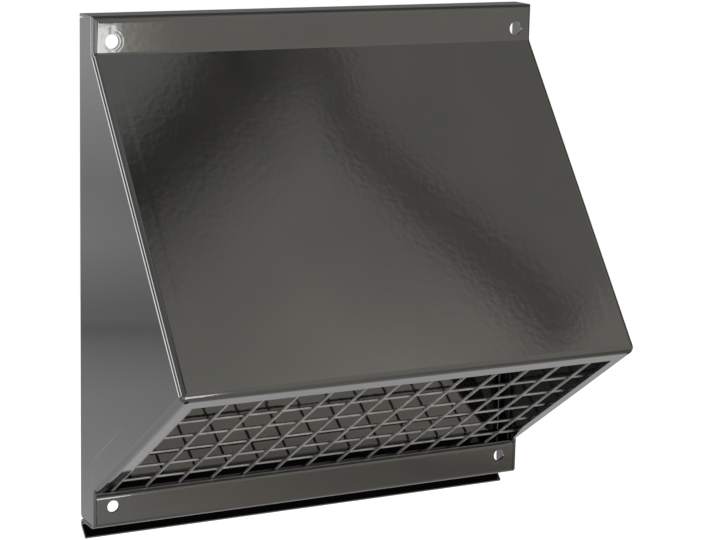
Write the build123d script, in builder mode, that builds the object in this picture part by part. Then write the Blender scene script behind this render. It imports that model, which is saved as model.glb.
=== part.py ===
from build123d import *
import math
import os

os.makedirs("parts", exist_ok=True)

# Wall vent hood, millimetres. X runs across the hood, Y goes into the wall, Z is up.
# The origin is where the duct axis meets the wall face.

# Overall box and hood
width = 170.0
height = 176.8
box_depth = 12.0  # how far the two flanges stand off the wall
reach = 76.0  # how far the nose stands out beyond the flanges
nose_height = 65.2  # nose fold above the underside of the hood
top_flange = 12.5
bottom_flange = 12.4

# Sheet and its folds
sheet = 1.0
fold_radius = 2.4  # outside radius of the folded corners
crease_radius = 1.4  # hollow bend under the top flange
cheek_corner = 1.5  # radius of each cheek's lower corner at the wall
seam = 0.3  # open joint between two sheets that meet
top_seam = 0.4  # open joint under the top return, at the wall
weld_fit = 0.2  # room left beside a sheet that is spot welded in place

# Lips folded into the mouth
side_lip = 6.0
front_lip = 8.0
lip_taper = 17.0  # length over which a side lip runs out at its lower end
lip_root = 2.0  # what is left of a side lip at its lower end
corner_relief = 1.6  # diameter of the relief hole where three folds meet

# Screw holes in the flanges
top_hole = 5.0
top_hole_inset = 6.9
top_hole_drop = 8.4
bottom_hole = 4.3
bottom_hole_inset = 7.3
bottom_hole_rise = 7.6

# Bottom rail
rail_radius = 1.8
seat_depth = 4.0  # inward fold along the top of the rail
seat_notch = 7.2  # the inward fold stops this far from each side
drip_run = 4.9
drip_drop = 4.9
drip_end = 1.5  # the drip lip is cut this far short of the right side
drip_bend = 0.9  # inside radius of the drip lip's fold

# Back plate
plate_setback = 2.6  # front face of the plate, in front of the wall
plate_top_gap = 15.0
plate_bottom_gap = 8.0
plate_tab = 7.0
plate_radius = 1.6

# Duct collar
collar_outside = 98.5
collar_wall = 0.8
collar_reach = 45.0  # how far it goes into the duct, from the wall face
collar_bend = 2.2
rim_outside = 110.0
rim_fit = 0.2

# Welded wire guard
wire = 1.0
long_pitch = 12.5
first_long = 7.8  # first long wire, from the left side of the hood
cross_pitch = 14.5
first_cross = 5.7  # first cross wire, from the lower edge of the mouth
wire_end_gap = 0.6

# Places that follow from the sizes
half_width = width / 2
top = height / 2
bottom = -height / 2
flange_face = -box_depth
crease_z = top - top_flange
mouth_foot_z = bottom + bottom_flange
nose_y = flange_face - reach
nose_z = bottom + nose_height
mouth_rise = nose_z - mouth_foot_z
mouth_length = math.hypot(reach, mouth_rise)
mouth_slope = Vector(0, -reach / mouth_length, mouth_rise / mouth_length)
mouth_out = Vector(0, -mouth_rise / mouth_length, -reach / mouth_length)
mouth_foot = Vector(0, flange_face, mouth_foot_z)
flange_plane = Plane(origin=(0, flange_face, 0), x_dir=(1, 0, 0), z_dir=(0, -1, 0))
mouth_plane = Plane(origin=mouth_foot, x_dir=(1, 0, 0), z_dir=mouth_out)


cheek_foot = bottom + sheet + seam
front_line = [
    (flange_face, top),
    (flange_face, crease_z),
    (nose_y, nose_z),
    (flange_face, mouth_foot_z),
]


def mouth_point(x, along, inside):
    """A point at x, so far up the mouth and so far inside its outer face."""
    return Vector(x, 0, 0) + mouth_foot + mouth_slope * along - mouth_out * inside


def hood_form(inset, fold, hollow):
    """The block of the hood, or with an inset the hollow inside its sheet, open to wall and rail."""
    side_x = half_width - inset
    with BuildPart() as form:
        with BuildSketch(Plane.YZ):
            with BuildLine():
                Polyline((0, top), *front_line, (flange_face, cheek_foot), (0, cheek_foot), close=True)
            make_face()
            if inset:
                offset(amount=-inset, kind=Kind.INTERSECTION)
                with Locations((-box_depth / 2, cheek_foot)):
                    Rectangle(box_depth + 2 * sheet, 2 * (mouth_foot_z - cheek_foot))
                with Locations((0, top - inset)):
                    Rectangle(4 * sheet, height, align=(Align.CENTER, Align.MAX))
        extrude(amount=side_x, both=True)
        top_front, crease, nose, mouth_end = front_line
        hollow_edge = form.edges().sort_by_distance(Vector(0, *crease))[0]
        fillet(hollow_edge, radius=hollow)
        folds = [form.edges().sort_by_distance(Vector(0, *point))[0] for point in (top_front, nose)]
        for side in (-side_x, side_x):
            for start, end in ((top_front, crease), (crease, nose), (nose, mouth_end)):
                middle = (Vector(side, *start) + Vector(side, *end)) / 2
                folds.append(form.edges().sort_by_distance(middle)[0])
        fillet(folds, radius=fold)
    return form.part


# Hood shell: sloped front, top flange and return, both cheeks and the mouth lips, from one sheet
outer_form = hood_form(0, fold_radius, crease_radius)
inner_form = hood_form(sheet, fold_radius - sheet, crease_radius + sheet)
mouth_far = mouth_length - front_lip
relief_inset = fold_radius - sheet + corner_relief / 2
with BuildPart() as hood_shell:
    add(outer_form)
    add(inner_form, mode=Mode.SUBTRACT)
    # The mouth between the lips, with each side lip run out at its lower end
    with BuildSketch(mouth_plane):
        with BuildLine():
            Polyline(
                (half_width - lip_root, -sheet),
                (half_width - side_lip, lip_taper),
                (half_width - side_lip, mouth_far),
                (side_lip - half_width, mouth_far),
                (side_lip - half_width, lip_taper),
                (lip_root - half_width, -sheet),
                close=True,
            )
        make_face()
    extrude(amount=-2 * sheet, mode=Mode.SUBTRACT)
    # Relief holes at the two corners where the front, the cheek and the lips meet
    with BuildSketch(mouth_plane):
        with Locations((half_width - relief_inset, mouth_length - relief_inset)):
            Circle(corner_relief / 2)
        with Locations((relief_inset - half_width, mouth_length - relief_inset)):
            Circle(corner_relief / 2)
    extrude(amount=-2 * sheet, mode=Mode.SUBTRACT)
    # Screw holes in the top flange
    with BuildSketch(flange_plane):
        with Locations((0, top - top_hole_drop)):
            with GridLocations(width - 2 * top_hole_inset, 0, 2, 1):
                Circle(top_hole / 2)
    extrude(amount=-2 * sheet, mode=Mode.SUBTRACT)
    # Open joint between the top return and the cheeks, closing towards the front fold
    with BuildSketch(Plane.YZ):
        with BuildLine():
            Polyline(
                (sheet, top - sheet),
                (flange_face + fold_radius, top - sheet),
                (0, top - sheet - top_seam),
                (sheet, top - sheet - top_seam),
                close=True,
            )
        make_face()
    extrude(amount=half_width + sheet, both=True, mode=Mode.SUBTRACT)
    # Lower corners of the cheeks, rounded at the wall
    cheek_middle = half_width - sheet / 2
    corners = [hood_shell.edges().sort_by_distance((x, 0, cheek_foot))[0] for x in (-cheek_middle, cheek_middle)]
    fillet(corners, radius=cheek_corner)
hood_shell.part.label = "hood_shell"
export_step(hood_shell.part, "parts/hood_shell.step")

# Bottom rail: flange, inward seat for the guard, bottom return and drip lip, from one sheet
drip_half_angle = math.atan2(drip_drop, drip_run) / 2
drip_corner = drip_bend * (1 / math.tan(drip_half_angle) - 1) - sheet
with BuildPart() as bottom_rail:
    with BuildSketch(Plane.YZ):
        with BuildLine():
            rail_path = FilletPolyline(
                (flange_face + seat_depth, mouth_foot_z),
                (flange_face, mouth_foot_z),
                (flange_face, bottom),
                (drip_corner, bottom),
                (drip_corner - drip_run, bottom - drip_drop),
                radius=[rail_radius, rail_radius, drip_bend],
            )
            offset(rail_path, amount=sheet, side=Side.LEFT, closed=True)
        make_face()
    extrude(amount=half_width, both=True)
    # The flange stands between the cheeks, and its seat stops short of them
    flange_end = sheet + weld_fit
    for side in (-1, 1):
        with BuildSketch(Plane.XZ):
            with Locations((side * half_width, cheek_foot)):
                Rectangle(2 * flange_end, height, align=(Align.CENTER, Align.MIN))
        extrude(amount=box_depth + sheet, mode=Mode.SUBTRACT)
        with BuildSketch(Plane.XZ.offset(box_depth - rail_radius)):
            with Locations((side * half_width, mouth_foot_z)):
                Rectangle(2 * seat_notch, 4 * sheet)
        extrude(amount=-box_depth, mode=Mode.SUBTRACT)
    # Screw holes in the bottom flange
    with BuildSketch(flange_plane):
        with Locations((0, bottom + bottom_hole_rise)):
            with GridLocations(width - 2 * bottom_hole_inset, 0, 2, 1):
                Circle(bottom_hole / 2)
    extrude(amount=-2 * sheet, mode=Mode.SUBTRACT)
    # The drip lip's right end, cut short
    with BuildSketch(Plane.XZ.offset(-sheet)):
        with Locations((half_width, bottom)):
            Rectangle(2 * drip_end, 2 * drip_drop, align=(Align.CENTER, Align.MAX))
    extrude(amount=box_depth, mode=Mode.SUBTRACT)
bottom_rail.part.label = "bottom_rail"
export_step(bottom_rail.part, "parts/bottom_rail.step")

# Back plate: folded tray between the cheeks, with the duct hole
plate_face = -plate_setback
plate_side = half_width - sheet - weld_fit
with BuildPart() as back_plate:
    with BuildSketch(Plane.XY.offset(bottom + plate_bottom_gap)):
        with BuildLine():
            tray_path = FilletPolyline(
                (-plate_side, plate_face - plate_tab),
                (-plate_side, plate_face + sheet),
                (plate_side, plate_face + sheet),
                (plate_side, plate_face - plate_tab),
                radius=plate_radius,
            )
            offset(tray_path, amount=sheet, side=Side.RIGHT, closed=True)
        make_face()
    extrude(amount=height - plate_bottom_gap - plate_top_gap)
    with BuildSketch(Plane.XZ):
        Circle(collar_outside / 2 + collar_bend + rim_fit)
    extrude(amount=box_depth, mode=Mode.SUBTRACT)
back_plate.part.label = "back_plate"
export_step(back_plate.part, "parts/back_plate.step")

# Duct collar: tube with its front end turned out over the plate
with BuildPart() as duct_collar:
    with BuildSketch(Plane.XY):
        with BuildLine():
            collar_path = FilletPolyline(
                (rim_outside / 2, plate_face),
                (collar_outside / 2, plate_face),
                (collar_outside / 2, collar_reach),
                radius=collar_bend,
            )
            offset(collar_path, amount=collar_wall, side=Side.LEFT, closed=True)
        make_face()
    revolve(axis=Axis.Y)
duct_collar.part.label = "duct_collar"
export_step(duct_collar.part, "parts/duct_collar.step")

# Wire guard: long wires on the lips and on the rail's seat, cross wires welded behind them
seat_run = sheet * reach / mouth_rise
long_start = -seat_run
long_end = mouth_length - fold_radius - wire
long_inside = sheet + wire / 2
cross_inside = long_inside + wire
long_count = int((width - first_long - side_lip) // long_pitch) + 1
cross_count = int((long_end - first_cross) // cross_pitch) + 1
for number in range(long_count):
    across = first_long - half_width + number * long_pitch
    wire_start = mouth_point(across, long_start, long_inside)
    with BuildPart() as long_wire:
        with BuildSketch(Plane(origin=wire_start, z_dir=mouth_slope)):
            Circle(wire / 2)
        extrude(amount=long_end - long_start)
    long_wire.part.label = f"long_wire_{number + 1:02d}"
    export_step(long_wire.part, f"parts/long_wire_{number + 1:02d}.step")

cross_half = half_width - sheet - wire_end_gap
for number in range(cross_count):
    wire_start = mouth_point(-cross_half, first_cross + number * cross_pitch, cross_inside)
    with BuildPart() as cross_wire:
        with BuildSketch(Plane(origin=wire_start, z_dir=(1, 0, 0))):
            Circle(wire / 2)
        extrude(amount=2 * cross_half)
    cross_wire.part.label = f"cross_wire_{number + 1}"
    export_step(cross_wire.part, f"parts/cross_wire_{number + 1}.step")
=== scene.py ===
import math

import bmesh
import bpy
from mathutils import Matrix, Vector


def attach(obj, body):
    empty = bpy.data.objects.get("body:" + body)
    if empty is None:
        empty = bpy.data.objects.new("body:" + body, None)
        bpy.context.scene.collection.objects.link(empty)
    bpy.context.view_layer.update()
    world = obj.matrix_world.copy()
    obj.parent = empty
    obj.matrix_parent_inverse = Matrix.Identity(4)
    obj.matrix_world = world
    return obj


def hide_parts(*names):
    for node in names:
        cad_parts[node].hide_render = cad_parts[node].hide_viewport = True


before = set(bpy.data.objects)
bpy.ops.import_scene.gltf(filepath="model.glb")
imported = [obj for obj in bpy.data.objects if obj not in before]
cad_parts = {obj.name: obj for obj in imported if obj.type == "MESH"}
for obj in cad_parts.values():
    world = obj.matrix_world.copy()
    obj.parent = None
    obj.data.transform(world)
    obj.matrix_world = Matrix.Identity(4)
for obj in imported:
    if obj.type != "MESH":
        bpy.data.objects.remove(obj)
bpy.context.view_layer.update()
print("the packed hood is in:", len(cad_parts), "nodes")


# A socket that can be used in sums. Each sum adds its Math node.
class Signal:
    def __init__(self, board, socket):
        self.board, self.socket = board, socket

    def maths(self, operation, first, second=0.0):
        return self.board.add("ShaderNodeMath", {"operation": operation}, {0: first, 1: second})

    def __add__(self, other):
        return self.maths("ADD", self, other)

    def __radd__(self, other):
        return self.maths("ADD", other, self)

    def __sub__(self, other):
        return self.maths("SUBTRACT", self, other)

    def __rsub__(self, other):
        return self.maths("SUBTRACT", other, self)

    def __mul__(self, other):
        return self.maths("MULTIPLY", self, other)

    def __rmul__(self, other):
        return self.maths("MULTIPLY", other, self)

    def __truediv__(self, other):
        return self.maths("DIVIDE", self, other)

    def __pow__(self, other):
        return self.maths("POWER", self, other)

    def largest(self, other):
        return self.maths("MAXIMUM", self, other)

    def size(self):
        return self.maths("ABSOLUTE", self)

    def out(self, name):  # another output of the same node
        return Signal(self.board, pick(self.socket.node.outputs, name))


def pick(sockets, key):
    if isinstance(key, int):
        return sockets[key]
    byCode = [s for s in sockets if s.identifier == key]
    return (byCode or [s for s in sockets if s.name == key])[0]


# A node tree with one way to add a node: its type, its settings, then what goes into its sockets
class Board:
    def __init__(self, tree):
        self.tree = tree

    def add(self, kind, settings=None, inputs=None):
        node = self.tree.nodes.new(kind)
        for name, value in (settings or {}).items():
            if name == "stops":
                ramp = node.color_ramp
                while len(ramp.elements) < len(value):
                    ramp.elements.new(0.5)
                for stop, (place, tone) in zip(ramp.elements, value):
                    stop.position, stop.color = place, (tone, tone, tone, 1.0)
            else:
                setattr(node, name, value)
        for key, value in (inputs or {}).items():
            socket = pick(node.inputs, key)
            if isinstance(value, Signal):
                self.tree.links.new(value.socket, socket)
            else:
                socket.default_value = value
        return Signal(self, node.outputs[0]) if node.outputs else node

    def ramp(self, value, low, high):  # 0 below low, 1 above high, smooth between
        settings = {"interpolation_type": "SMOOTHSTEP"}
        return self.add("ShaderNodeMapRange", settings, {"Value": value, "From Min": low, "From Max": high})

    def noise(self, place, size, detail=2.0, roughness=0.5):  # size is the width of one bump
        values = {"Vector": place, "Scale": 1.0 / size, "Detail": detail, "Roughness": roughness}
        return self.add("ShaderNodeTexNoise", {"noise_dimensions": "3D"}, values)

    def blend(self, share, first, second):  # a colour between two
        return self.add(
            "ShaderNodeMix",
            {"data_type": "RGBA"},
            {"Factor_Float": share, "A_Color": first, "B_Color": second},
        ).out("Result_Color")


# The paint: near-black gloss powder coat over thin sheet
paintLook = {
    "dark": (0.0072, 0.0069, 0.0060, 1.0),
    "light": (0.0105, 0.0100, 0.0088, 1.0),
    "cloudSize": 0.03,
    "cloudEdge": (0.35, 0.65),
    "roughness": 0.035,
    "roughnessSpread": 0.03,
    "metal": 0.0,
    "clearness": 1.8,
    "peelSize": 0.0023,
    "peelHeight": 0.0000075,
    "waveSize": 0.05,
    "waveHeight": 0.000025,
}


def newMaterial(name):
    material = bpy.data.materials.new(name)
    material.use_nodes = True
    material.node_tree.nodes.clear()
    return material, Board(material.node_tree)


def paintMaterial(name, look, relief=None, tint=None):
    material, board = newMaterial(name)
    place = board.add("ShaderNodeTexCoord").out("Object")
    cloud = board.noise(place, look["cloudSize"], 3.0, 0.55)
    speckle = board.noise(place, look["peelSize"] * 0.4, 1.0)
    colour = board.blend(board.ramp(cloud, *look["cloudEdge"]), look["dark"], look["light"])
    roughness = look["roughness"] + look["roughnessSpread"] * (0.6 * cloud + 0.4 * speckle)
    peel = board.noise(place, look["peelSize"], 1.0, 0.4)
    wave = board.noise(place, look["waveSize"], 1.0, 0.4)
    height = look["peelHeight"] * peel + look["waveHeight"] * wave
    metal = look["metal"]
    if relief:
        height = height + relief(board, place)
    if tint:
        share, tone, hush = tint(board, place)
        colour = board.blend(share, colour, tone)
        metal = metal + hush * share  # a near-black metal mirrors hardly anything
    bump = board.add("ShaderNodeBump", {}, {"Strength": 1.0, "Distance": 1.0, "Height": height})
    shader = board.add(
        "ShaderNodeBsdfPrincipled",
        {},
        {
            "Base Color": colour,
            "Roughness": roughness,
            "Metallic": metal,
            "IOR": look["clearness"],
            "Normal": bump,
        },
    )
    board.add("ShaderNodeOutputMaterial", {}, {"Surface": shader})
    return material


# Small marks of the press, in the frame of the imported part: rings round each punched hole, a painted
# highlight along a line pressed into the left cheek, a painted sheen and highlight on the bend of the rail,
# and painted shade where parts lie in the dark. Pairs are a mark's soft edge
markLook = {
    "topHole": (0.0781, 0.0800, 0.0025),  # out from the middle, up, radius
    "bottomHole": (0.0777, -0.0808, 0.00215),
    "topDimple": 0.0000042,
    "bottomDimple": 0.0000025,
    "firstRing": 0.0006,
    "secondRing": (0.0011, 0.0018),  # out from the hole's edge
    "secondShare": 0.8,
    "ringSide": (-0.0005, 0.0015),  # rings show on the side towards the middle
    "ringFace": (-0.0114, -0.0108),  # and on the front face alone
    "lineWidth": 0.0003,
    "lineInside": 0.0105,  # from the mouth's edge
    "lineStart": (0.0072, 0.0076),  # along the mouth
    "lineEnd": (0.0276, 0.046),
    "lineStrength": 0.8,
    # painted highlight: the lighter tone of the line pressed into the cheek, where the crease catches the
    # light
    "lineHighlightTone": (0.075, 0.073, 0.068, 1.0),
    "uprightPlace": -0.0118,
    "uprightFoot": (-0.0761, -0.0741),
    "uprightTop": (-0.0636, -0.0632),
    "cheekFace": (-0.0848, -0.0846),
    "lipTop": (-0.0893, -0.0887),
    "returnFront": (-0.0109, -0.0105),
    "returnTop": (-0.0790, -0.0780),
    "bendFoot": (-0.0775, -0.0769),
    "bendBack": (-0.0107, -0.0103),
    "bendEdge": (-0.0765, -0.0761),
    # painted sheen and painted highlight: the bend's lighter tone and its bright edge line stand in for the
    # light it reflects
    "bendSheenTone": (0.030, 0.029, 0.027, 1.0),
    "bendEdgeHighlightTone": (0.21, 0.206, 0.197, 1.0),
    "plateFoot": (-0.0746, -0.0742),
    "plateTab": (0.0802, 0.0808),
    # painted shade: a near-black tone for what lies in the dark under the hood
    "paintedShadeTone": (0.003, 0.0028, 0.0024, 1.0),
    "lipHush": 0.6,
    "plateHush": 0.8,
}
mouthFoot = (-0.012, -0.0760)  # y and z of the mouth's lower edge
mouthSlope = (-0.8213, 0.5706)  # along the mouth, up and out


def split(board, place):
    parts = board.add("ShaderNodeSeparateXYZ", {}, {"Vector": place})
    return parts.out("X"), parts.out("Y"), parts.out("Z")


def dimples(across, up, radius, depth):
    def relief(board, place):
        x, y, z = split(board, place)
        aside, above = x.size() - across, z - up
        reach = (aside * aside + above * above) ** 0.5
        start, end = markLook["secondRing"]
        first = board.ramp(reach, radius, radius + markLook["firstRing"])
        second = board.ramp(reach, radius + start, radius + end)
        inner = board.ramp(across - x.size(), *markLook["ringSide"])
        inFront = 1 - board.ramp(y, *markLook["ringFace"])
        return depth * (first + markLook["secondShare"] * second) * inner * inFront

    return relief


# A tint gives its share, its colour and how much it hushes the gloss
# painted highlight: a lighter line along the crease pressed into the left cheek, standing in for the light
# the crease catches
def cheekLineHighlight(board, place):
    x, y, z = split(board, place)
    outward, upward = y - mouthFoot[0], z - mouthFoot[1]
    inside = outward * mouthSlope[1] - upward * mouthSlope[0]
    along = outward * mouthSlope[0] + upward * mouthSlope[1]
    width = markLook["lineWidth"]
    sloped = 1 - board.ramp((inside - markLook["lineInside"]).size(), width * 0.4, width)
    sloped = sloped * board.ramp(along, *markLook["lineStart"])
    sloped = sloped * (1 - board.ramp(along, *markLook["lineEnd"]))
    upright = 1 - board.ramp((y - markLook["uprightPlace"]).size(), width * 0.3, width * 0.8)
    upright = upright * board.ramp(z, *markLook["uprightFoot"])
    upright = upright * (1 - board.ramp(z, *markLook["uprightTop"]))
    onCheek = 1 - board.ramp(x, *markLook["cheekFace"])
    return markLook["lineStrength"] * sloped.largest(upright) * onCheek, markLook["lineHighlightTone"], 0.0


def railPaintedShadeAndSheen(board, place):  # painted shade: the drip lip and the return are darkened and their gloss hushed where they lie in the dark; the bend gets a painted sheen and a painted highlight for the light it reflects
    x, y, z = split(board, place)
    lip = 1 - board.ramp(z, *markLook["lipTop"])
    inside = board.ramp(y, *markLook["returnFront"]) * (1 - board.ramp(z, *markLook["returnTop"]))
    dark = lip.largest(inside)
    sheenOnBend = board.ramp(z, *markLook["bendFoot"]) * (1 - board.ramp(y, *markLook["bendBack"])) * (1 - dark)
    bend = board.blend(board.ramp(z, *markLook["bendEdge"]), markLook["bendSheenTone"], markLook["bendEdgeHighlightTone"])
    tone = board.blend(sheenOnBend, markLook["paintedShadeTone"], bend)
    return dark.largest(sheenOnBend), tone, markLook["lipHush"] * dark


def platePaintedShade(board, place):  # painted shade: the plate's folded tabs and its foot are darkened and their gloss hushed, where they lie in the dark between cheeks and rail
    x, y, z = split(board, place)
    foot = 1 - board.ramp(z, *markLook["plateFoot"])
    tabs = board.ramp(x.size(), *markLook["plateTab"])
    return foot.largest(tabs), markLook["paintedShadeTone"], markLook["plateHush"]


topRings = dimples(*markLook["topHole"], markLook["topDimple"])
bottomRings = dimples(*markLook["bottomHole"], markLook["bottomDimple"])
shellPaint = paintMaterial("gloss black shell paint", paintLook, topRings, cheekLineHighlight)
railPaint = paintMaterial("gloss black rail paint", paintLook, bottomRings, railPaintedShadeAndSheen)
# painted shade: the plate lies inside the hood, and its paint is made darker to stand in for the shade there
plateShadedLook = dict(paintLook, dark=(0.004, 0.0038, 0.0034, 1.0), light=(0.006, 0.0057, 0.005, 1.0))
platePaint = paintMaterial("gloss black plate paint", plateShadedLook, tint=platePaintedShade)
collarPaint = paintMaterial("gloss black collar paint", dict(paintLook, waveSize=0.03))
zincLook = {
    "dark": (0.23, 0.226, 0.218, 1.0),
    "light": (0.31, 0.306, 0.296, 1.0),
    "cloudSize": 0.006,
    "cloudEdge": (0.35, 0.65),
    "roughness": 0.58,
    "roughnessSpread": 0.14,
    "metal": 1.0,
    "clearness": 1.5,
    "peelSize": 0.0006,
    "peelHeight": 0.000004,
    "waveSize": 0.01,
    "waveHeight": 0.0,
}
wireZinc = paintMaterial("dulled zinc wire", zincLook)
print("paint is mixed")


# Sheet pieces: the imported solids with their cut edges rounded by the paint
sheetFinish = {
    "mergeWithin": 0.000001,
    "flatWithin": math.radians(0.4),
    "paintRound": 0.00018,
    "edgeAngle": math.radians(28),  # cut edges turn by more than this
    "mitreAngle": math.radians(3),
    "mitreLength": 0.003,  # an edge at a mitre is shorter than this
    "steps": 2,
}


def paintedCopy(name, node, material, finish):
    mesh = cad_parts[node].data.copy()
    mesh.name = name
    piece = bpy.data.objects.new(name, mesh)
    bpy.context.scene.collection.objects.link(piece)
    work = bmesh.new()
    work.from_mesh(mesh)
    bmesh.ops.remove_doubles(work, verts=work.verts, dist=finish["mergeWithin"])
    bmesh.ops.dissolve_limit(
        work,
        angle_limit=finish["flatWithin"],
        verts=work.verts,
        edges=work.edges,
        delimit={"NORMAL"},
    )
    for edge in work.edges:  # two folds that meet at a mitre keep their own shading
        if len(edge.link_faces) == 2 and edge.calc_length() < finish["mitreLength"]:
            edge.smooth = not finish["mitreAngle"] < edge.calc_face_angle() < finish["edgeAngle"]
    work.to_mesh(mesh)
    work.free()
    mesh.materials.clear()
    mesh.materials.append(material)
    for face in mesh.polygons:
        face.use_smooth = True
    bevel = piece.modifiers.new("paint round", "BEVEL")
    bevel.width = finish["paintRound"]
    bevel.segments = finish["steps"]
    bevel.limit_method = "ANGLE"
    bevel.angle_limit = finish["edgeAngle"]
    bevel.use_clamp_overlap = True
    flat = piece.modifiers.new("flat faces stay flat", "WEIGHTED_NORMAL")
    flat.mode, flat.weight, flat.keep_sharp = "FACE_AREA", 100, True
    done = bpy.data.meshes.new_from_object(piece.evaluated_get(bpy.context.evaluated_depsgraph_get()))
    piece.modifiers.clear()
    piece.data = done
    done.name = name
    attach(piece, "root")
    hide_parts(node)
    return piece


sheetPieces = {
    "hood_shell": ("paintedHoodShell", shellPaint, "coated_sheet"),
    "bottom_rail": ("paintedBottomRail", railPaint, "coated_sheet"),
    "back_plate": ("paintedBackPlate", platePaint, "coated_sheet"),
    "duct_collar": ("paintedDuctCollar", collarPaint, "coated_collar"),
}
for node, (name, paint, slotName) in sheetPieces.items():
    mitre = 0.0 if node == "duct_collar" else sheetFinish["mitreLength"]
    piece = paintedCopy(name, node, paint, dict(sheetFinish, mitreLength=mitre))
    print("painted", name, len(piece.data.polygons), "faces")


# Wire guard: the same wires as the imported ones, a little uneven, with small welds where they cross.
# It is laid out flat, x across and y up the mouth, and then turned into the mouth.
guardLook = {
    "inputs": {
        "Wire Thickness": 0.001,
        "Long Count": 13,
        "Long Pitch": 0.0125,
        "First Long": -0.0772,
        "Long Inside": 0.0015,
        "Long Start": -0.00144,
        "Long End": 0.08914,
        "Cross Count": 6,
        "Cross Pitch": 0.0145,
        "First Cross": 0.0057,
        "Cross Reach": 0.0834,
        "Weld Size": 0.00058,
        "Unevenness": 0.00035,
        "Seed": 7,
    },
    "driftScale": 22.0,
    "driftStep": 3.7,  # from one seed to the next
    "wireSteps": 48,
    "wireSides": 14,
    "beadSides": 12,
    "beadRings": 7,
    "sharpAngle": math.radians(50),
}


def guardTree(look):
    tree = bpy.data.node_groups.new("welded guard", "GeometryNodeTree")
    board = Board(tree)
    for name, value in look["inputs"].items():
        kind = "NodeSocketInt" if isinstance(value, int) else "NodeSocketFloat"
        tree.interface.new_socket(name, in_out="INPUT", socket_type=kind)
    tree.interface.new_socket("Finish", in_out="INPUT", socket_type="NodeSocketMaterial")
    tree.interface.new_socket("Guard", in_out="OUTPUT", socket_type="NodeSocketGeometry")
    given = board.add("NodeGroupInput")

    def point(x=0.0, y=0.0, z=0.0):
        return board.add("ShaderNodeCombineXYZ", {}, {"X": x, "Y": y, "Z": z})

    thickness = given.out("Wire Thickness")
    longDepth = 0 - given.out("Long Inside")
    crossDepth = longDepth - thickness
    field = board.add("GeometryNodeInputPosition")
    turn = given.out("Seed") * look["driftStep"]
    values = {"Vector": field, "W": turn, "Scale": look["driftScale"], "Detail": 1.0}
    drift = board.add("ShaderNodeTexNoise", {"noise_dimensions": "4D"}, values).out("Color")
    drift = board.add("ShaderNodeVectorMath", {"operation": "SUBTRACT"}, {0: drift, 1: (0.5, 0.5, 0.5)})
    values = {0: drift, "Scale": given.out("Unevenness")}
    drift = board.add("ShaderNodeVectorMath", {"operation": "SCALE"}, values)
    drift = board.add("ShaderNodeVectorMath", {"operation": "MULTIPLY"}, {0: drift, 1: (1.0, 1.0, 0.5)})

    def wires(count, first, step, start, end):
        places = {"Count": count, "Start Location": first, "Offset": step}
        points = board.add("GeometryNodeMeshLine", {}, places)
        line = board.add("GeometryNodeCurvePrimitiveLine", {}, {"Start": start, "End": end})
        line = board.add("GeometryNodeResampleCurve", {}, {"Curve": line, "Count": look["wireSteps"]})
        rows = board.add("GeometryNodeInstanceOnPoints", {}, {"Points": points, "Instance": line})
        rows = board.add("GeometryNodeRealizeInstances", {}, {"Geometry": rows})
        rows = board.add("GeometryNodeSetPosition", {}, {"Geometry": rows, "Offset": drift})
        circle = {"Resolution": look["wireSides"], "Radius": thickness / 2}
        ring = board.add("GeometryNodeCurvePrimitiveCircle", {}, circle)
        swept = {"Curve": rows, "Profile Curve": ring, "Fill Caps": True}
        return board.add("GeometryNodeCurveToMesh", {}, swept)

    long = wires(
        given.out("Long Count"),
        point(given.out("First Long"), 0.0, longDepth),
        point(given.out("Long Pitch")),
        point(0.0, given.out("Long Start")),
        point(0.0, given.out("Long End")),
    )
    reach = given.out("Cross Reach")
    cross = wires(
        given.out("Cross Count"),
        point(0.0, given.out("First Cross"), crossDepth),
        point(0.0, given.out("Cross Pitch")),
        point(0 - reach),
        point(reach),
    )
    longCount, crossCount = given.out("Long Count"), given.out("Cross Count")
    wide = (longCount - 1) * given.out("Long Pitch")
    tall = (crossCount - 1) * given.out("Cross Pitch")
    sizes = {"Size X": wide, "Size Y": tall, "Vertices X": longCount, "Vertices Y": crossCount}
    crossings = board.add("GeometryNodeMeshGrid", {}, sizes)
    middleAcross = given.out("First Long") + wide / 2
    middleUp = given.out("First Cross") + tall / 2
    middle = point(middleAcross, middleUp, longDepth - thickness / 2)
    crossings = board.add("GeometryNodeSetPosition", {}, {"Geometry": crossings, "Offset": middle})
    crossings = board.add("GeometryNodeSetPosition", {}, {"Geometry": crossings, "Offset": drift})
    ball = {
        "Segments": look["beadSides"],
        "Rings": look["beadRings"],
        "Radius": given.out("Weld Size"),
    }
    bead = board.add("GeometryNodeMeshUVSphere", {}, ball)
    beads = board.add("GeometryNodeInstanceOnPoints", {}, {"Points": crossings, "Instance": bead})
    joined = board.add("GeometryNodeJoinGeometry", {}, {"Geometry": beads})
    for part in (long, cross):
        board.tree.links.new(part.socket, joined.socket.node.inputs[0])
    turned = board.add(
        "GeometryNodeTransform",
        {},
        {
            "Geometry": joined,
            "Translation": (0.0, *mouthFoot),
            "Rotation": (math.atan2(mouthSlope[1], mouthSlope[0]), 0.0, 0.0),
        },
    )
    whole = board.add("GeometryNodeRealizeInstances", {}, {"Geometry": turned})
    smooth = board.add("GeometryNodeSetShadeSmooth", {}, {"Geometry": whole})
    painted = board.add("GeometryNodeSetMaterial", {}, {"Geometry": smooth, "Material": given.out("Finish")})
    board.add("NodeGroupOutput", {}, {"Guard": painted})
    return tree


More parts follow.
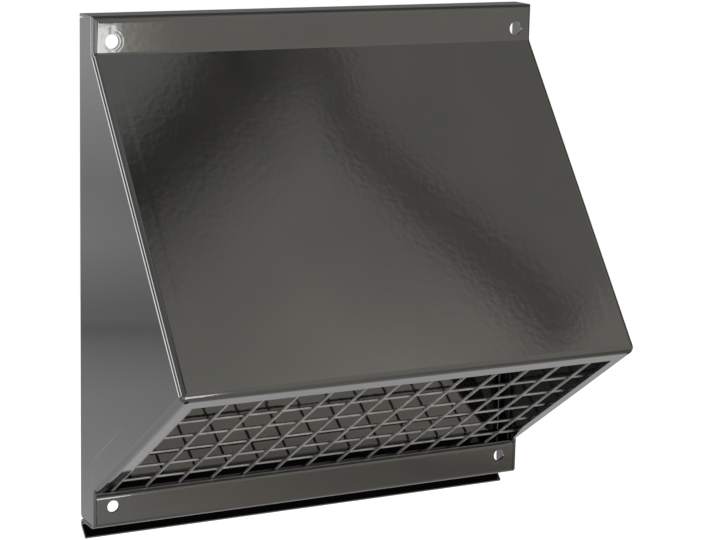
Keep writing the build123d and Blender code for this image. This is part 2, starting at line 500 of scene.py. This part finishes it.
def weldedGuard(look):
    piece = bpy.data.objects.new("weldedGuard", bpy.data.meshes.new("weldedGuard"))
    bpy.context.scene.collection.objects.link(piece)
    tree = guardTree(look)
    layout = piece.modifiers.new("guard", "NODES")
    layout.node_group = tree
    codes = {item.name: item.identifier for item in tree.interface.items_tree if item.in_out == "INPUT"}
    for name, value in look["inputs"].items():
        layout[codes[name]] = value
    layout[codes["Finish"]] = wireZinc
    piece.update_tag()
    done = bpy.data.meshes.new_from_object(piece.evaluated_get(bpy.context.evaluated_depsgraph_get()))
    piece.modifiers.clear()
    piece.data = done
    done.name = "weldedGuard"
    done.set_sharp_from_angle(angle=look["sharpAngle"])
    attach(piece, "root")
    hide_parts(*[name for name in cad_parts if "wire" in name])
    return piece


guard = weldedGuard(guardLook)
print("guard has", len(guard.data.polygons), "faces")

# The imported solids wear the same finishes
for name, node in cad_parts.items():
    node.data.materials.clear()
    node.data.materials.append(wireZinc if "wire" in name else platePaint)


# Floor, pale and plain, a little way below a hood that hangs on its wall
floorLook = {
    "radius": 1.5,
    "sides": 96,
    "height": -0.36,
    "tone": (0.76, 0.76, 0.76, 1.0),
    "roughness": 0.8,
    "lift": 0.5,
    # how bright the hood's gloss shows it, and over which soft edges that changes
    "behind": 0.89,
    "behindLift": 0.13,
    "behindEdge": (0.07, 0.18),
    "nearFront": 0.62,
    "nearReach": (0.55, 0.8),
    "farFront": 0.92,
    "farReach": (0.95, 1.03),
    "leftEdge": (-0.2, 0.0),
    "frontEdge": (-0.05, 0.0),
    "warmEdge": (0.2, 0.3),
    "warmLoss": (0.07, 0.17),  # green and blue that the warm light in front at the right lacks
    # at the left, against the distance from the middle as a share of the radius, half values
    "leftFade": [
        (0.0, 0.5),
        (0.57, 0.5),
        (0.67, 0.41),
        (0.74, 0.375),
        (0.8, 0.355),
        (0.87, 0.295),
        (0.91, 0.255),
        (0.935, 0.225),
        (0.955, 0.185),
        (1.0, 0.25),
    ],
    # in front, against metres from the middle to the right, half values
    "rightFade": [
        (0.0, 0.55),
        (0.24, 0.55),
        (0.31, 0.435),
        (0.37, 0.375),
        (0.43, 0.33),
        (0.5, 0.26),
        (1.0, 0.28),
    ],
}


def floorPiece(look):
    mesh = bpy.data.meshes.new("studioFloor")
    work = bmesh.new()
    bmesh.ops.create_circle(work, cap_ends=True, radius=look["radius"], segments=look["sides"])
    work.to_mesh(mesh)
    work.free()
    mesh.transform(Matrix.Translation((0, 0, look["height"])))
    piece = bpy.data.objects.new("studioFloor", mesh)
    bpy.context.scene.collection.objects.link(piece)
    material, board = newMaterial("matt white floor")
    path = board.add("ShaderNodeLightPath")
    seen, shone = path.out("Is Camera Ray"), path.out("Is Glossy Ray")
    lift = board.blend(seen, (0, 0, 0, 1), (look["lift"],) * 3 + (1,))
    matt = board.add(
        "ShaderNodeBsdfPrincipled",
        {},
        {
            "Base Color": look["tone"],
            "Roughness": look["roughness"],
            "Emission Color": lift,
            "Emission Strength": 1.0,
        },
    )
    x, y, z = split(board, board.add("ShaderNodeTexCoord").out("Object"))
    reach = (x * x + y * y) ** 0.5
    share = reach / look["radius"]
    left = 2.0 * board.add("ShaderNodeValToRGB", {"stops": look["leftFade"]}, {"Fac": share})
    right = 2.0 * board.add("ShaderNodeValToRGB", {"stops": look["rightFade"]}, {"Fac": x})
    right = right * (look["nearFront"] + (1 - look["nearFront"]) * board.ramp(reach, *look["nearReach"]))
    right = right + (look["farFront"] - right) * board.ramp(reach, *look["farReach"])
    atLeft = 1 - board.ramp(x, *look["leftEdge"])
    inFront = 1 - board.ramp(y, *look["frontEdge"])
    behind = look["behind"] + look["behindLift"] * (1 - board.ramp(x, *look["behindEdge"]))
    back = behind + (left - behind) * atLeft
    tone = back + (right - back) * inFront
    warm = inFront * board.ramp(x, *look["warmEdge"])
    green, blue = (tone * (1 - loss * warm) for loss in look["warmLoss"])
    shine = board.add("ShaderNodeCombineXYZ", {}, {"X": tone, "Y": green, "Z": blue})
    mirrored = board.add(
        "ShaderNodeBsdfPrincipled",
        {},
        {
            "Base Color": (0, 0, 0, 1),
            "Specular IOR Level": 0.0,
            "Emission Color": shine,
            "Emission Strength": 1.0,
        },
    )
    clear = board.add("ShaderNodeBsdfTransparent")
    under = board.add("ShaderNodeNewGeometry").out("Backfacing")
    mixed = board.add("ShaderNodeMixShader", {}, {0: shone, 1: matt, 2: mirrored})
    # clear from below, so that the hood shows from there too
    mixed = board.add("ShaderNodeMixShader", {}, {0: under, 1: mixed, 2: clear})
    board.add("ShaderNodeOutputMaterial", {}, {"Surface": mixed})
    mesh.materials.append(material)
    return piece


floorPiece(floorLook)


# The studio round the hood, as its gloss shows it. Angles in degrees: azimuth 0 is in front of the hood
# and 90 at its right, elevation is above the horizon. Tones in lists are half values, pairs are soft edges
studio = {
    "nearLeft": 0.60,
    "left": 0.50,
    "behind": 0.20,
    "overhead": 0.81,
    # the light wall in front, with a dark rail over it, against elevation
    "wall": [
        (-10.0, 0.50),
        (10.0, 0.515),
        (44.0, 0.52),
        (46.0, 0.60),
        (47.0, 0.72),
        (47.9, 0.74),
        (48.5, 0.71),
        (49.1, 0.67),
        (49.7, 0.63),
        (50.2, 0.60),
        (50.9, 0.56),
        (51.5, 0.55),
        (52.2, 0.51),
        (52.8, 0.485),
        (53.4, 0.465),
        (54.0, 0.43),
        (54.7, 0.345),
        (55.4, 0.24),
        (56.0, 0.12),
        (56.5, 0.055),
        (57.0, 0.06),
        (57.5, 0.17),
        (58.1, 0.34),
        (58.8, 0.405),
        (60.0, 0.415),
    ],
    # towards its right end the wall dims, below a given elevation, and its rail drops
    "dimming": 0.27,
    "dimAcross": (44.5, 49.5),
    "dimUp": (50.5, 54.5),
    "railDrop": 0.55,
    "railAcross": (44.5, 50.0),
    "railUp": (56.2, 56.9),
    "wallLeft": (-14, -12),
    "wallRight": 50.1,
    "wallLean": 1.7,
    "leanUp": (53.6, 55.6),
    # the dark post at the wall's right end, and the room beside, below and above it
    "post": 0.31,
    "postLeft": (-1.0, 0.8),  # from the wall's right end
    "postRight": (0.9, 2.4),
    "besidePost": 0.69,
    "belowPost": 1.05,
    "postFoot": (45.7, 46.7),
    "postTop": (56.5, 58.6),
    "behindEdge": (62, 92),
    "nearLeftEdge": (-100, -60),
    "nearLeftTop": (54, 64),
    "farLeftEdge": (-112, -104),
    # the light is a little warm in front and at the right
    "warmLeft": (-20, 0),
    "warmRight": (100, 130),
    "warmTop": (55.5, 58),
    "warmRed": 0.02,
    "warmBlue": -0.09,
    # low at the left and behind, against elevation
    "farLeft": [
        (-13.6, 0.19),
        (-12.9, 0.25),
        (-11.4, 0.36),
        (-9.9, 0.335),
        (-8.4, 0.425),
        (-6.5, 0.57),
        (0.0, 0.58),
        (30.0, 0.25),
    ],
    # each light: azimuth from and to, elevation from and to, soft edge, strength
    "sideLights": [
        (-135, -121, -12, 13, 2.0, 6.5),
        (-95, -83, -12, 43, 2.0, 6.5),
        (-60, -16, -13, -2, 2.0, 1.7),
        (-20, 21.8, -13, -2, 1.5, 2.0),
    ],
}


def lightStudio(look):
    world = bpy.data.worlds.new("soft white studio")
    world.use_nodes = True
    world.node_tree.nodes.clear()
    board = Board(world.node_tree)
    place = board.add("ShaderNodeTexCoord").out("Generated")
    x, y, z = split(board, place)
    degree = 180 / math.pi
    azimuth = x.maths("ARCTAN2", x, 0 - y) * degree
    elevation = z.maths("ARCSINE", z) * degree

    def band(value, low, high, edge):
        return board.ramp(value, low - edge, low + edge) * (1 - board.ramp(value, high - edge, high + edge))

    def towards(share, first, second):
        return first + (second - first) * share

    def tones(stops, height):
        low, high = stops[0][0], stops[-1][0]
        places = [((at - low) / (high - low), tone) for at, tone in stops]
        share = (height - low) / (high - low)
        return 2.0 * board.add("ShaderNodeValToRGB", {"stops": places}, {"Fac": share})

    dimmed = board.ramp(azimuth, *look["dimAcross"]) * (1 - board.ramp(elevation, *look["dimUp"]))
    drop = board.ramp(azimuth, *look["railAcross"]) * board.ramp(elevation, *look["railUp"])
    wall = tones(look["wall"], elevation - look["railDrop"] * drop) * (1 - look["dimming"] * dimmed)
    pastWall = azimuth - look["wallLean"] * board.ramp(elevation, *look["leanUp"]) - look["wallRight"]
    beside = towards(board.ramp(pastWall, *look["postRight"]), look["post"], look["besidePost"])
    beside = towards(board.ramp(elevation, *look["postFoot"]), look["belowPost"], beside)
    beside = towards(board.ramp(elevation, *look["postTop"]), beside, look["overhead"])
    beside = towards(board.ramp(azimuth, *look["behindEdge"]), beside, look["behind"])
    room = towards(board.ramp(pastWall, *look["postLeft"]), wall, beside)
    nearLeft = towards(board.ramp(azimuth, *look["nearLeftEdge"]), look["left"], look["nearLeft"])
    nearLeft = towards(board.ramp(elevation, *look["nearLeftTop"]), nearLeft, look["overhead"])
    room = towards(board.ramp(azimuth, *look["wallLeft"]), nearLeft, room)
    glow = towards(board.ramp(azimuth, *look["farLeftEdge"]), tones(look["farLeft"], elevation), room)
    for left, right, low, high, edge, strength in look["sideLights"]:
        glow = glow + strength * band(azimuth, left, right, edge) * band(elevation, low, high, edge)
    warm = board.ramp(azimuth, *look["warmLeft"]) * (1 - board.ramp(azimuth, *look["warmRight"]))
    warm = warm * (1 - board.ramp(elevation, *look["warmTop"]))
    red, blue = (glow * (1 + look[part] * warm) for part in ("warmRed", "warmBlue"))
    colour = board.add("ShaderNodeCombineXYZ", {}, {"X": red, "Y": glow, "Z": blue})
    white = board.add("ShaderNodeBackground", {}, {"Color": (1, 1, 1, 1), "Strength": 1.0})
    lit = board.add("ShaderNodeBackground", {}, {"Color": colour, "Strength": 1.0})
    seen = board.add("ShaderNodeLightPath").out("Is Camera Ray")
    mixed = board.add("ShaderNodeMixShader", {}, {0: seen, 1: lit, 2: white})
    board.add("ShaderNodeOutputWorld", {}, {"Surface": mixed})
    bpy.context.scene.world = world
    return world


lightStudio(studio)

# Two soft lamps: one low in front, which the gloss shows at the left corner, and one overhead for the floor
lampLooks = {
    "lowFrontLamp": {
        "place": (-0.030, -0.69, -0.142),
        "turn": (90, 0, 0),
        "size": (0.440, 0.318),
        "glow": 5.8,
        "shiny": True,
    },
    "overheadLamp": {
        "place": (0.0, 0.1, 1.1),
        "turn": (0, 0, 0),
        "size": (1.2, 1.2),
        "glow": 1.6,
        "shiny": False,
    },
}


def softLamp(name, look):
    lamp = bpy.data.lights.new(name, "AREA")
    lamp.shape = "RECTANGLE"
    lamp.size, lamp.size_y = look["size"]
    lamp.energy = look["glow"] * math.pi * lamp.size * lamp.size_y  # so that glow is what a mirror would show
    holder = bpy.data.objects.new(name, lamp)
    bpy.context.scene.collection.objects.link(holder)
    holder.location = look["place"]
    holder.rotation_euler = [math.radians(a) for a in look["turn"]]
    holder.visible_camera = False
    holder.visible_glossy = look["shiny"]
    return holder


for name, look in lampLooks.items():
    softLamp(name, look)
print("studio is lit")

# Camera, fitted to the photograph: it stands to the left and a little above
cameraFit = {
    "place": (-0.354981, -0.711077, 0.164713),
    "turn": 27.940,
    "down": 12.078,
    "roll": -1.346,
    "lens": 113.87,
    "sensor": 36.0,
    "clip": (0.01, 50),
}


def fitCamera(look):
    turn, down, roll = (math.radians(look[k]) for k in ("turn", "down", "roll"))
    forward = Vector((math.sin(turn) * math.cos(down), math.cos(turn) * math.cos(down), -math.sin(down)))
    right = Vector((math.cos(turn), -math.sin(turn), 0))
    below = forward.cross(right)
    across = math.cos(roll) * right + math.sin(roll) * below
    below = -math.sin(roll) * right + math.cos(roll) * below
    lens = bpy.data.cameras.new("photo camera")
    lens.sensor_fit, lens.sensor_width, lens.lens = "HORIZONTAL", look["sensor"], look["lens"]
    lens.clip_start, lens.clip_end = look["clip"]
    holder = bpy.data.objects.new("photo camera", lens)
    bpy.context.scene.collection.objects.link(holder)
    axes = Matrix((across, -below, -forward)).transposed()
    holder.matrix_world = Matrix.Translation(look["place"]) @ axes.to_4x4()
    bpy.context.scene.camera = holder
    return holder


fitCamera(cameraFit)
bpy.context.scene.view_settings.view_transform = "Standard"

print("camera is set")
